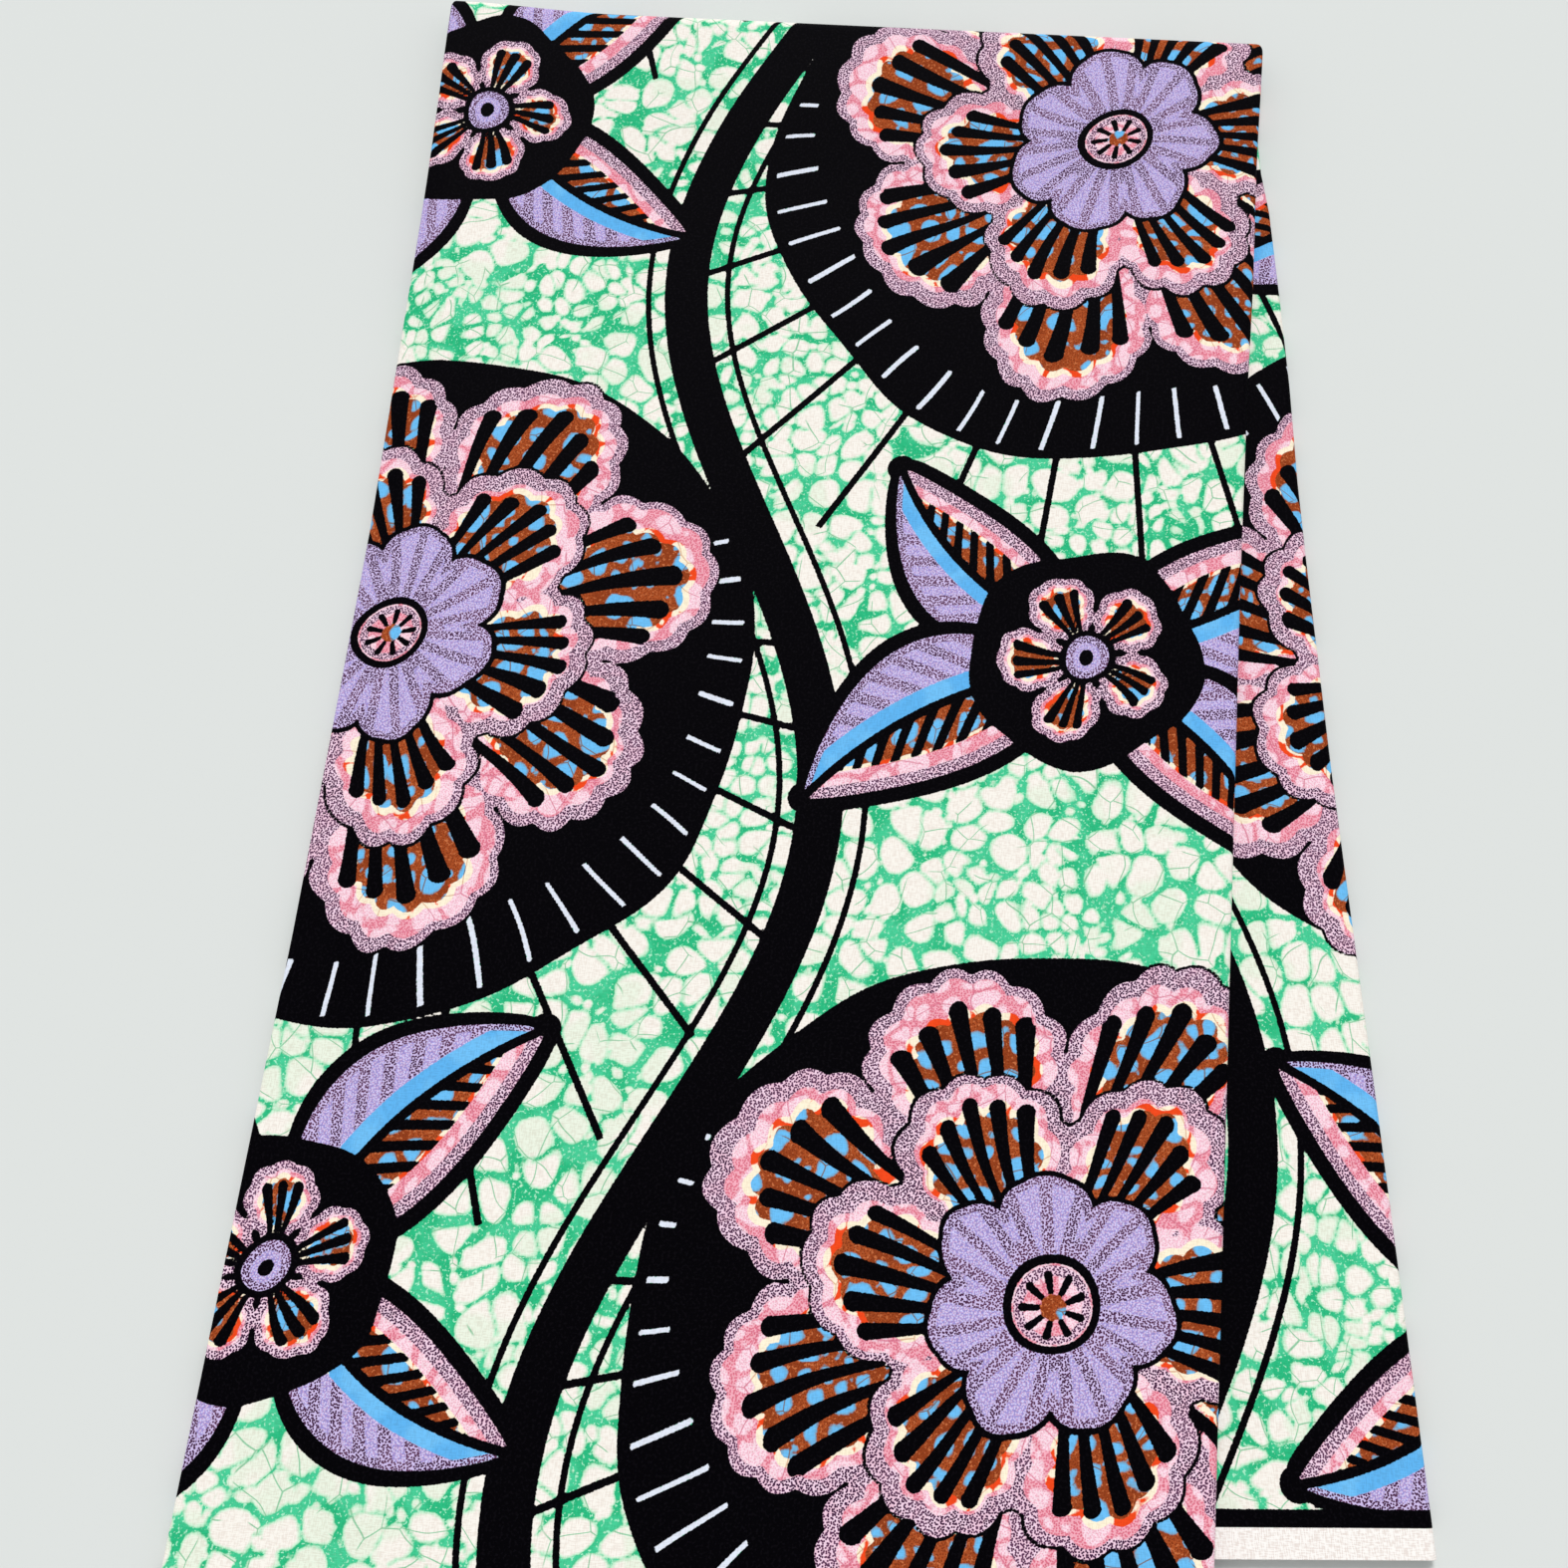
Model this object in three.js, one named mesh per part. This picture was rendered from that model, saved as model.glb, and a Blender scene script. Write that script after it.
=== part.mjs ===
// A six-yard piece of wax print cotton, folded flat: sixteen layers in a long strip, which is
// then folded in half across, a little askew, so that its lower half fans out to the right.
//
// Millimetres, +Z up, +Y towards the cross fold, +X to the right. The piece lies on z = 0 and
// its origin is the middle of its bounding box, on the surface that it lies on.
//
// The strip is described by where a point lies on it: its side offset from the centre line,
// its way along the strip from the cross fold, and its depth below the strip's outer face. The
// outer face is on top in the upper half and underneath in the lower half.

import * as THREE from "three";

// ---------------------------------------------------------------- driving dimensions

const UPPER_STACK = 5.4;        // sixteen layers, upper half
const LOWER_STACK = 5.5;        // sixteen layers, lower half
const CLOTH_WALL = 1.2;         // the outermost layers, which show
const SEAM_GAP = 0.3;           // between neighbouring solids
const FOLD_PUFF = 2.8;          // how much the cross fold stands above the pressed stack
const PUFF_RUN = 90;            // over this length the stack rises to the cross fold
const FOLD_SKEW = THREE.MathUtils.degToRad(3.73); // the cross fold, off square to the strip
const FRONT_END = 627;          // near end of the upper half, from the cross fold, at mid-width
const LOWER_END = 590;          // near end of the lower half
const FRONT_END_SLOPE = 0.018;  // each end's small slant across the strip
const LOWER_END_SLOPE = 0.03;
const SAG_RUN = 34;             // the overhanging upper half comes down to z = 0 over this run
const TUCK = 5;                 // length of an outer layer that turns under past its fold
const GROUP_STACK = 2.7;        // eight layers folded together, at the left side

// Half-widths of the strip at a few distances from the cross fold. The fold itself splays.
const UPPER_WIDTHS = [
  { along: 0, left: 176.0, right: 172.0 },
  { along: 40, left: 174.2, right: 171.0 },
  { along: 100, left: 172.2, right: 169.6 },
  { along: 160, left: 170.7, right: 168.2 },
  { along: 240, left: 168.4, right: 167.4 },
  { along: 400, left: 167.1, right: 167.4 },
  { along: 640, left: 168.2, right: 167.6 },
];
const LOWER_WIDTHS = [
  { along: 0, left: 176.0, right: 172.0 },
  { along: 55, left: 172.5, right: 166.4 },
  { along: 115, left: 171.0, right: 165.0 },
  { along: 200, left: 172.0, right: 162.4 },
  { along: 320, left: 172.8, right: 161.6 },
  { along: 450, left: 172.6, right: 162.6 },
  { along: 600, left: 172.4, right: 163.2 },
];

// Left side of the hidden layers: how far each group of folded edges stays inside the
// outline. The eight-layer group above them belongs to the outer layer's own fold.
const EDGE_GROUPS = [
  { name: "four layers", top: 0.13, bottom: 0.52, inset: 0.4 },
  { name: "two layers", top: 0.62, bottom: 0.78, inset: 1.8 },
  { name: "two free ends", top: 0.88, bottom: 1.0, inset: 0.9 },
];
const GROOVE_INSET = 3.2;       // between two groups
const END_STEPS = [0, 1.6, 0.5, 2.2, 1.0, 2.6, 0.4, 1.8, 0.8]; // ragged near ends of the layers

const END_INSET = 0.6;          // the hidden ends stay this far behind the outer layers' ends
const SIDE_ROUNDING = 0.5;      // of the hidden layers inside the right fold

// Mesh counts
const CURL_STEPS = 6;
const OVERHANG_COLUMNS = 4;
const FACE_COLUMNS = 9;
const SAG_ROWS = 4;
const FLAT_ROWS = 14;
const PUFF_ROWS = 5;
const TURN_ROWS = 8;            // an even number, for the whole half turn

// ---------------------------------------------------------------- derived sizes

const FOLD_HEIGHT = LOWER_STACK + SEAM_GAP + UPPER_STACK + FOLD_PUFF;
const TURN_RADIUS = FOLD_HEIGHT / 2;
const TURN_LENGTH = Math.PI * TURN_RADIUS;
const ALONG_FOLD = new THREE.Vector2(Math.cos(FOLD_SKEW), Math.sin(FOLD_SKEW));
const ACROSS_FOLD = new THREE.Vector2(-Math.sin(FOLD_SKEW), Math.cos(FOLD_SKEW));

const lerp = THREE.MathUtils.lerp;
const smoothstep = THREE.MathUtils.smoothstep;

/** Reads a width table at a distance from the cross fold, eased between its rows. */
function halfWidth(table, along, side) {
  const distance = Math.min(Math.max(along, 0), table[table.length - 1].along);
  const next = Math.max(1, table.findIndex((row) => row.along >= distance));
  const low = table[next - 1];
  const high = table[next];
  return lerp(low[side], high[side], (distance - low.along) / (high.along - low.along));
}

/** Half-width at a signed fold distance: negative on the upper half, positive past the turn. */
function outline(foldDistance, side) {
  if (foldDistance <= 0) return halfWidth(UPPER_WIDTHS, -foldDistance, side);
  return halfWidth(LOWER_WIDTHS, Math.max(0, foldDistance - TURN_LENGTH), side);
}

/** Fold distance of the near end, for each half, at a side offset x. */
function frontEnd(x) {
  return -(FRONT_END - FRONT_END_SLOPE * x) * Math.cos(FOLD_SKEW) - x * Math.sin(FOLD_SKEW);
}

function lowerEnd(x) {
  const along = LOWER_END + LOWER_END_SLOPE * x;
  return TURN_LENGTH + along * Math.cos(FOLD_SKEW) - x * Math.sin(FOLD_SKEW);
}

/** Fold distance, on the upper half, of the lower half's near end below it. */
function endBelow(x) {
  const perDistance = Math.cos(2 * FOLD_SKEW) / Math.cos(FOLD_SKEW)
    + 2 * LOWER_END_SLOPE * Math.sin(FOLD_SKEW);
  return (x * (Math.tan(FOLD_SKEW) - LOWER_END_SLOPE) - LOWER_END) / perDistance;
}

/** How far a plan point lies outside the lower half, past its left side or its near end. */
function overhang(planX, planY) {
  const rotation = 2 * FOLD_SKEW;
  const along = planX * Math.sin(rotation) - planY * Math.cos(rotation);
  const side = planX * Math.cos(rotation) + planY * Math.sin(rotation);
  const pastSide = -side - halfWidth(LOWER_WIDTHS, along, "left");
  const pastEnd = along - LOWER_END - LOWER_END_SLOPE * side;
  return Math.max(pastSide, pastEnd);
}

/** Places a strip point in space: bends it over the cross fold and lets the overhang sag. */
function lay(x, foldDistance, depth) {
  const slide = x / Math.cos(FOLD_SKEW) + foldDistance * Math.tan(FOLD_SKEW);
  let reach;
  let height;
  if (foldDistance <= 0) {
    reach = foldDistance;
    height = FOLD_HEIGHT - FOLD_PUFF * (1 - smoothstep(foldDistance, -PUFF_RUN, 0)) - depth;
  } else if (foldDistance < TURN_LENGTH) {
    const turn = foldDistance / TURN_RADIUS;
    reach = (TURN_RADIUS - depth) * Math.sin(turn);
    height = TURN_RADIUS + (TURN_RADIUS - depth) * Math.cos(turn);
  } else {
    reach = TURN_LENGTH - foldDistance;
    height = depth;
  }
  const planX = slide * ALONG_FOLD.x + reach * ACROSS_FOLD.x;
  const planY = slide * ALONG_FOLD.y + reach * ACROSS_FOLD.y;
  if (foldDistance < 0) {
    height -= (LOWER_STACK + SEAM_GAP) * smoothstep(overhang(planX, planY), 0, SAG_RUN);
  }
  return new THREE.Vector3(planX, planY, height);
}

// ---------------------------------------------------------------- rows and columns

/** Fold distances from the upper half's near end to the lower half's, as functions of x. */
function makeRows() {
  const rows = [];
  for (let i = 0; i < SAG_ROWS; i++) {
    rows.push((x) => lerp(frontEnd(x), endBelow(x), i / SAG_ROWS));
  }
  for (let i = 0; i < FLAT_ROWS; i++) {
    rows.push((x) => lerp(endBelow(x), -PUFF_RUN, i / FLAT_ROWS));
  }
  for (let i = 0; i < PUFF_ROWS; i++) rows.push(() => -PUFF_RUN * (1 - i / PUFF_ROWS));
  for (let i = 0; i <= TURN_ROWS; i++) rows.push(() => TURN_LENGTH * (i / TURN_ROWS));
  for (let i = 1; i <= PUFF_ROWS; i++) {
    rows.push(() => TURN_LENGTH + PUFF_RUN * (i / PUFF_ROWS));
  }
  for (let i = 1; i <= FLAT_ROWS; i++) {
    rows.push((x) => lerp(TURN_LENGTH + PUFF_RUN, lowerEnd(x), i / FLAT_ROWS));
  }
  return rows;
}

const ROWS = makeRows();
const MIDDLE_ROW = SAG_ROWS + FLAT_ROWS + PUFF_ROWS + TURN_ROWS / 2;
const UPPER_ROWS = ROWS.slice(0, MIDDLE_ROW);
const LOWER_ROWS = ROWS.slice(MIDDLE_ROW + 1);

/** Fold distance of the seam at the middle of the turn, half a gap to one side of it. */
function seam(depth, direction) {
  return (TURN_LENGTH / 2) + direction * (SEAM_GAP / 2) * (TURN_RADIUS / (TURN_RADIUS - depth));
}

/** Side offset where the lower half's left side runs below the upper half. */
function crease(foldDistance, leftLimit) {
  const spare = 8;              // least width left of the crease
  if (foldDistance >= 0) return leftLimit + spare;
  const along = -foldDistance;
  const lowerLeft = along * Math.tan(2 * FOLD_SKEW)
    - halfWidth(LOWER_WIDTHS, along, "left") / Math.cos(2 * FOLD_SKEW);
  return Math.max(leftLimit + spare, lowerLeft);
}

/** Side offset of face column i, between two limits. Column 1 clears the left tuck, one column
 *  lies on the crease, and the last but one clears the right tuck. */
function faceColumn(i, foldDistance, leftLimit, rightLimit) {
  const first = leftLimit + TUCK + 2 * SEAM_GAP;
  const middle = crease(foldDistance, first);
  const last = rightLimit - TUCK - 2 * SEAM_GAP;
  if (i === 0) return leftLimit;
  if (i <= OVERHANG_COLUMNS) return lerp(first, middle, (i - 1) / (OVERHANG_COLUMNS - 1));
  if (i === ALL_COLUMNS) return rightLimit;
  return lerp(middle, last, (i - OVERHANG_COLUMNS) / (FACE_COLUMNS - 1));
}

const ALL_COLUMNS = OVERHANG_COLUMNS + FACE_COLUMNS;

// ---------------------------------------------------------------- closed meshes

/** A closed body whose surface is a box lattice of columns, rows and levels. */
function latticeSolid(columns, rows, levels, place) {
  const positions = [];
  const indices = [];
  const known = new Map();
  const vertex = (c, r, l) => {
    const key = `${c},${r},${l}`;
    if (!known.has(key)) {
      known.set(key, positions.length / 3);
      positions.push(...place(c, r, l).toArray());
    }
    return known.get(key);
  };
  const quad = (a, b, c, d) => indices.push(a, b, c, a, c, d);
  for (let c = 0; c < columns; c++) {
    for (let r = 0; r < rows; r++) {
      quad(vertex(c, r, 0), vertex(c + 1, r, 0), vertex(c + 1, r + 1, 0), vertex(c, r + 1, 0));
      quad(vertex(c, r, levels), vertex(c, r + 1, levels),
        vertex(c + 1, r + 1, levels), vertex(c + 1, r, levels));
    }
  }
  for (let l = 0; l < levels; l++) {
    for (let c = 0; c < columns; c++) {
      quad(vertex(c, 0, l), vertex(c, 0, l + 1), vertex(c + 1, 0, l + 1), vertex(c + 1, 0, l));
      quad(vertex(c, rows, l), vertex(c + 1, rows, l),
        vertex(c + 1, rows, l + 1), vertex(c, rows, l + 1));
    }
    for (let r = 0; r < rows; r++) {
      quad(vertex(0, r, l), vertex(0, r + 1, l), vertex(0, r + 1, l + 1), vertex(0, r, l + 1));
      quad(vertex(columns, r, l), vertex(columns, r, l + 1),
        vertex(columns, r + 1, l + 1), vertex(columns, r + 1, l));
    }
  }
  const geometry = new THREE.BufferGeometry();
  geometry.setAttribute("position", new THREE.Float32BufferAttribute(positions, 3));
  geometry.setIndex(indices);
  geometry.computeVertexNormals();
  return geometry;
}

/** A point on an outer layer that curls round its bundle's side: turn 0 is the face's limit,
 *  1 the end of the half turn and 2 the end of the tuck. */
function curlPoint(limit, direction, radius, turn, inward) {
  if (turn <= 1) {
    const angle = Math.PI * turn;
    return {
      x: limit + direction * (radius - inward) * Math.sin(angle),
      depth: radius - (radius - inward) * Math.cos(angle),
    };
  }
  return { x: limit - direction * TUCK * (turn - 1), depth: 2 * radius - inward };
}

// ---------------------------------------------------------------- the pieces

const GROUP_RADIUS = GROUP_STACK / 2;
const UPPER_RADIUS = UPPER_STACK / 2;
const LOWER_RADIUS = LOWER_STACK / 2;

/** Top face of the upper half: wraps the eight-layer group on the left, the whole bundle on
 *  the right, and the upper half of the cross fold. */
function frontLayer() {
  const columns = 2 * (CURL_STEPS + 1) + ALL_COLUMNS;
  const place = (column, row, level) => {
    const inward = level * CLOTH_WALL;
    const face = column - CURL_STEPS - 1;
    const last = row === UPPER_ROWS.length;
    const near = last ? seam(0, -1) : UPPER_ROWS[row](0);
    const leftLimit = -outline(near, "left") + GROUP_RADIUS;
    const rightLimit = outline(near, "right") - UPPER_RADIUS;
    let point;
    if (face < 0) {
      const step = -face;
      const turn = step <= CURL_STEPS ? step / CURL_STEPS : 2;
      point = curlPoint(leftLimit, -1, GROUP_RADIUS, turn, inward);
    } else if (face > ALL_COLUMNS) {
      const step = face - ALL_COLUMNS;
      const turn = step <= CURL_STEPS ? step / CURL_STEPS : 2;
      point = curlPoint(rightLimit, 1, UPPER_RADIUS, turn, inward);
    } else {
      point = { x: faceColumn(face, near, leftLimit, rightLimit), depth: inward };
    }
    return lay(point.x, last ? seam(point.depth, -1) : UPPER_ROWS[row](point.x), point.depth);
  };
  return latticeSolid(columns, UPPER_ROWS.length, 1, place);
}

/** Top face of the lower half, which shows at the right: wraps the lower bundle's right side
 *  and turns under it. Its left end is free. */
function lowerLayer() {
  const columns = FACE_COLUMNS + CURL_STEPS + 1;
  const freeEnd = 2.0;
  const place = (column, row, level) => {
    const inward = (1 - level) * CLOTH_WALL;
    const near = row > 0 ? LOWER_ROWS[row - 1](0) : seam(0, 1);
    const leftLimit = -outline(near, "left") + freeEnd;
    const rightLimit = outline(near, "right") - LOWER_RADIUS;
    let point;
    if (column <= FACE_COLUMNS) {
      point = { x: lerp(leftLimit, rightLimit, column / FACE_COLUMNS), depth: inward };
    } else {
      const step = column - FACE_COLUMNS;
      const turn = step <= CURL_STEPS ? step / CURL_STEPS : 2;
      point = curlPoint(rightLimit, 1, LOWER_RADIUS, turn, inward);
    }
    const depth = LOWER_STACK - point.depth;
    return lay(point.x, row > 0 ? LOWER_ROWS[row - 1](point.x) : seam(depth, 1), depth);
  };
  return latticeSolid(columns, LOWER_ROWS.length, 1, place);
}

/** Underside of the lower half and lower half of the cross fold, with the eight-layer group's
 *  fold on the left. It ends on the right where the lower layer turns under. */
function underLayer() {
  const columns = CURL_STEPS + 1 + FACE_COLUMNS;
  const place = (column, row, level) => {
    const inward = level * CLOTH_WALL;
    const face = column - CURL_STEPS - 1;
    const near = row > 0 ? LOWER_ROWS[row - 1](0) : seam(0, 1);
    const leftLimit = -outline(near, "left") + GROUP_RADIUS;
    const rightLimit = outline(near, "right") - LOWER_RADIUS - TUCK - SEAM_GAP;
    let point;
    if (face < 0) {
      const step = -face;
      const turn = step <= CURL_STEPS ? step / CURL_STEPS : 2;
      point = curlPoint(leftLimit, -1, GROUP_RADIUS, turn, inward);
    } else {
      point = { x: lerp(leftLimit, rightLimit, face / FACE_COLUMNS), depth: inward };
    }
    const depth = point.depth;
    return lay(point.x, row > 0 ? LOWER_ROWS[row - 1](point.x) : seam(depth, 1), depth);
  };
  return latticeSolid(columns, LOWER_ROWS.length, 1, place);
}

/** Levels through the hidden layers: the depth share and the left inset at each. */
function edgeLevels() {
  const levels = [{ share: 0, inset: GROOVE_INSET }];
  for (const group of EDGE_GROUPS) {
    levels.push({ share: group.top, inset: group.inset });
    levels.push({ share: group.bottom, inset: group.inset });
    if (group.bottom < 1) levels.push({ share: (group.bottom + 0.05), inset: GROOVE_INSET });
  }
  return levels;
}

/** The hidden layers of both halves, one solid folded over like the strip: thin below the
 *  outer layers, full height at the left side, where its groups of edges show. */
function hiddenFolds() {
  const levels = edgeLevels();
  const skin = CLOTH_WALL + SEAM_GAP;
  const groupDepth = GROUP_STACK + SEAM_GAP;    // below the eight-layer group
  const columns = ALL_COLUMNS + 2;
  const lastRow = ROWS.length - 1;
  const place = (column, row, level) => {
    const share = levels[level].share;
    const lower = row > MIDDLE_ROW - 1;
    const endInset = END_INSET + END_STEPS[level];
    const rowAt = (x) => {
      if (row === 0) return ROWS[0](x) + endInset;
      if (row === lastRow) return ROWS[lastRow](x) - endInset;
      return ROWS[row](x);
    };
    const near = ROWS[row](0);
    const leftEdge = -outline(near, "left");
    const rightEdge = outline(near, "right");
    const leftFace = leftEdge + GROUP_RADIUS;
    const rightRadius = lower ? LOWER_RADIUS : UPPER_RADIUS;
    const rightFace = rightEdge - rightRadius;
    let x;
    let top = skin;
    let floor = lower ? LOWER_STACK - skin : UPPER_STACK;
    if (column === 0) {
      x = leftEdge + levels[level].inset;
      top = groupDepth;
    } else if (column === 1) {
      x = faceColumn(1, near, leftFace, rightFace) - SEAM_GAP;
      top = groupDepth;
    } else if (column === columns) {
      x = rightEdge - skin - SIDE_ROUNDING * Math.abs(share - 0.5);
      top += SIDE_ROUNDING;
      floor = (lower ? LOWER_STACK : UPPER_STACK) - skin - SIDE_ROUNDING;
    } else {
      x = faceColumn(column - 1, near, leftFace, rightFace);
      if (column === columns - 1) {
        x = rightFace - TUCK - SEAM_GAP;
        floor = (lower ? LOWER_STACK : UPPER_STACK) - skin;
      }
    }
    return lay(x, rowAt(x), lerp(top, floor, share));
  };
  return latticeSolid(columns, lastRow, levels.length - 1, place);
}

// ---------------------------------------------------------------- assembly

function piece(name, geometry, color) {
  const material = new THREE.MeshStandardMaterial({ color, roughness: 0.85, metalness: 0 });
  const mesh = new THREE.Mesh(geometry, material);
  mesh.name = name;
  return mesh;
}

const cloth = new THREE.Group();
cloth.add(piece("front_layer", frontLayer(), "#3dc18c"));
cloth.add(piece("lower_layer", lowerLayer(), "#eac1d2"));
cloth.add(piece("under_layer", underLayer(), "#a74a2a"));
cloth.add(piece("hidden_folds", hiddenFolds(), "#f2ebe9"));

const bounds = new THREE.Box3().setFromObject(cloth);
cloth.position.set(
  -(bounds.min.x + bounds.max.x) / 2,
  -(bounds.min.y + bounds.max.y) / 2,
  -bounds.min.z,
);

export default cloth;
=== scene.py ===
"""Looks of a folded piece of wax print cotton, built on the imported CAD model.

The cloth is modelled in the strip's own coordinates, as the CAD is, in millimetres: a side
offset from the strip's centre line, a fold distance from the cross fold (negative on the upper
half), and a depth below the strip's outer face. lay() bends such points into place.
"""
import math

import bpy
import numpy as np
from mathutils import Matrix, Vector


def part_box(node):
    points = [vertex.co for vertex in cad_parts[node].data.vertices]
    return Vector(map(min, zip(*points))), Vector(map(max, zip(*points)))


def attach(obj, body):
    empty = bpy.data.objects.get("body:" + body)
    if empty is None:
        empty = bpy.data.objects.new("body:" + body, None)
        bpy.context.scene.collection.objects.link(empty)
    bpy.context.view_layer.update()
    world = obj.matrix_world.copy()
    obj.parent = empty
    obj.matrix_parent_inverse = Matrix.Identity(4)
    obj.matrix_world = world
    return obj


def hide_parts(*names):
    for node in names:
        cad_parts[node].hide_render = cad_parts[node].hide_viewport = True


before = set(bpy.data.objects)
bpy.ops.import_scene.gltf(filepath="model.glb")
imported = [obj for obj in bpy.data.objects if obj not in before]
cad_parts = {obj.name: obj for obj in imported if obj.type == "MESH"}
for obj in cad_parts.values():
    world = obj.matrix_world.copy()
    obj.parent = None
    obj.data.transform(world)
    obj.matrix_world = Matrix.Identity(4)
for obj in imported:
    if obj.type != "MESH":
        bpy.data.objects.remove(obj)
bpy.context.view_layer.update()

MM = 0.001

# ---------- shape of the folded strip

UPPER_STACK = 5.4  # sixteen layers, upper half
LOWER_STACK = 5.5  # sixteen layers, lower half
SEAM_GAP = 0.3
FOLD_PUFF = 2.8  # the cross fold stands this much above the pressed stack
PUFF_RUN = 90.0
FOLD_SKEW = math.radians(3.73)
FRONT_END, FRONT_END_SLOPE = 627.0, 0.018
LOWER_END, LOWER_END_SLOPE = 590.0, 0.03
SAG_RUN = 34.0
TUCK = 5.0
CORNER_FLARE = 3.4  # the cross fold's left corner reaches this much further
LAYERS = 16
GROUP_RADIUS = 1.35  # of the eight-layer fold at the left side
CLOTH = 0.27  # thickness of one layer

UPPER_WIDTHS = {
    "along": (0, 40, 100, 160, 240, 400, 640),
    "left": (176.0, 174.2, 172.2, 170.7, 168.4, 167.1, 168.2),
    "right": (172.0, 171.0, 169.6, 168.2, 167.4, 167.4, 167.6),
}
LOWER_WIDTHS = {
    "along": (0, 55, 115, 200, 320, 450, 600),
    "left": (176.0, 172.5, 171.0, 172.0, 172.8, 172.6, 172.4),
    "right": (172.0, 166.4, 165.0, 162.4, 161.6, 162.6, 163.2),
}

# Edge groups of the left side, as first and last layer, and how far they stay inside
LEFT_GROUPS = ((0, 7, 0.0), (8, 11, 0.4), (12, 13, 1.8))
FREE_ENDS = (14, 15)
FREE_INSET = 0.9

FOLD_HEIGHT = LOWER_STACK + SEAM_GAP + UPPER_STACK + FOLD_PUFF
TURN_RADIUS = FOLD_HEIGHT / 2
TURN_LENGTH = math.pi * TURN_RADIUS

SELVEDGE = 9.4  # bare woven edge
BORDER = 5.4  # black line printed beside it


def ease(value, low, high):
    share = np.clip((value - low) / (high - low), 0.0, 1.0)
    return share * share * (3.0 - 2.0 * share)


def blend(low, high, share):
    return low + (high - low) * share


RIGHT_CHANGE = {
    "along": (-110, -45, 0, 60, 96, 178, 260, 620),
    "inward": (0.0, 1.6, 2.0, 3.2, 0.0, -1.4, -0.7, -0.8),
}


def drawn_in(q):
    """How far the right side lies inside the CAD's own outline, beside the cross fold above all."""
    return np.interp(q, RIGHT_CHANGE["along"], RIGHT_CHANGE["inward"])


def outline(q, side):
    """Half-width of the strip at a fold distance."""
    upper = np.interp(-q, UPPER_WIDTHS["along"], UPPER_WIDTHS[side])
    lower = np.interp(q - TURN_LENGTH, LOWER_WIDTHS["along"], LOWER_WIDTHS[side])
    return np.where(q <= 0, upper, lower) - (drawn_in(q) if side == "right" else 0.0)


def front_end(x):
    """Fold distance of the upper half's near end at a side offset."""
    return -(FRONT_END - FRONT_END_SLOPE * x) * math.cos(FOLD_SKEW) - x * math.sin(FOLD_SKEW)


def lower_end(x):
    along = (LOWER_END + LOWER_END_SLOPE * x) * math.cos(FOLD_SKEW)
    return TURN_LENGTH + along - x * math.sin(FOLD_SKEW)


def overhang(plan_x, plan_y):
    """How far a plan point lies outside the lower half, past its left side or its near end."""
    c, s = math.cos(2 * FOLD_SKEW), math.sin(2 * FOLD_SKEW)
    along = plan_x * s - plan_y * c
    side = plan_x * c + plan_y * s
    past_side = -side - np.interp(along, LOWER_WIDTHS["along"], LOWER_WIDTHS["left"])
    return np.maximum(past_side, along - LOWER_END - LOWER_END_SLOPE * side)


# Soft unevenness of the pressed top: start and end in plan from the cross fold's middle, width
# and height. Troughs are negative.
CREASES = (
    ((-150, -60), (40, -28), 22, 0.5),
    ((30, -40), (150, -70), 16, -0.4),
    ((-60, -150), (60, -330), 30, 0.45),
    ((90, -210), (140, -420), 20, -0.35),
    ((-140, -260), (-70, -450), 24, 0.45),
    ((-40, -470), (110, -520), 26, 0.4),
    ((-120, -560), (10, -585), 18, -0.35),
    ((150, -330), (215, -560), 18, 0.3),
)


def relief(plan_x, plan_y):
    """Height of the soft unevenness at plan points."""
    height = 0.16 * np.sin(plan_x / 31 + plan_y / 83) * np.sin(plan_y / 47 - plan_x / 120)
    height += 0.05 * np.sin(plan_x / 9.5 + np.sin(plan_y / 23)) * np.sin(plan_y / 14)
    for start, end, width, peak in CREASES:
        dx, dy = plan_x - start[0], plan_y - start[1]
        run = np.array(end, float) - start
        near = np.clip((dx * run[0] + dy * run[1]) / (run @ run), 0, 1)
        gap = np.hypot(dx - near * run[0], dy - near * run[1])
        swell = np.exp(-(gap / width) ** 2) * np.sin(math.pi * np.clip(near, 0.06, 0.94))
        height = height + peak * swell
    return height


def lay(x, q, depth, raised=0.0):
    """Places strip points in space, as arrays of plan x, plan y and height."""
    slide = x / math.cos(FOLD_SKEW) + q * math.tan(FOLD_SKEW)
    turn = np.clip(q, 0, TURN_LENGTH) / TURN_RADIUS
    flat_top = FOLD_HEIGHT - FOLD_PUFF * (1 - ease(q, -PUFF_RUN, 0)) - depth
    reach = (TURN_RADIUS - depth) * np.sin(turn) + np.minimum(q, 0)
    reach = reach - np.maximum(q - TURN_LENGTH, 0)
    from_turn = np.maximum(-q, q - TURN_LENGTH)
    reach = reach + CORNER_FLARE * ease(-x, 105, 176) * (1 - ease(from_turn, 0, 70))
    height = np.where(q <= 0, flat_top, TURN_RADIUS + (TURN_RADIUS - depth) * np.cos(turn))
    plan_x = slide * math.cos(FOLD_SKEW) - reach * math.sin(FOLD_SKEW)
    plan_y = slide * math.sin(FOLD_SKEW) + reach * math.cos(FOLD_SKEW)
    sag = (LOWER_STACK + SEAM_GAP) * ease(overhang(plan_x, plan_y), 0, SAG_RUN)
    height = np.where(q < 0, height - sag, height)
    height = height + raised * relief(plan_x, plan_y)
    return np.stack([plan_x, plan_y, height], axis=-1)


# ---------- the print

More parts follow.
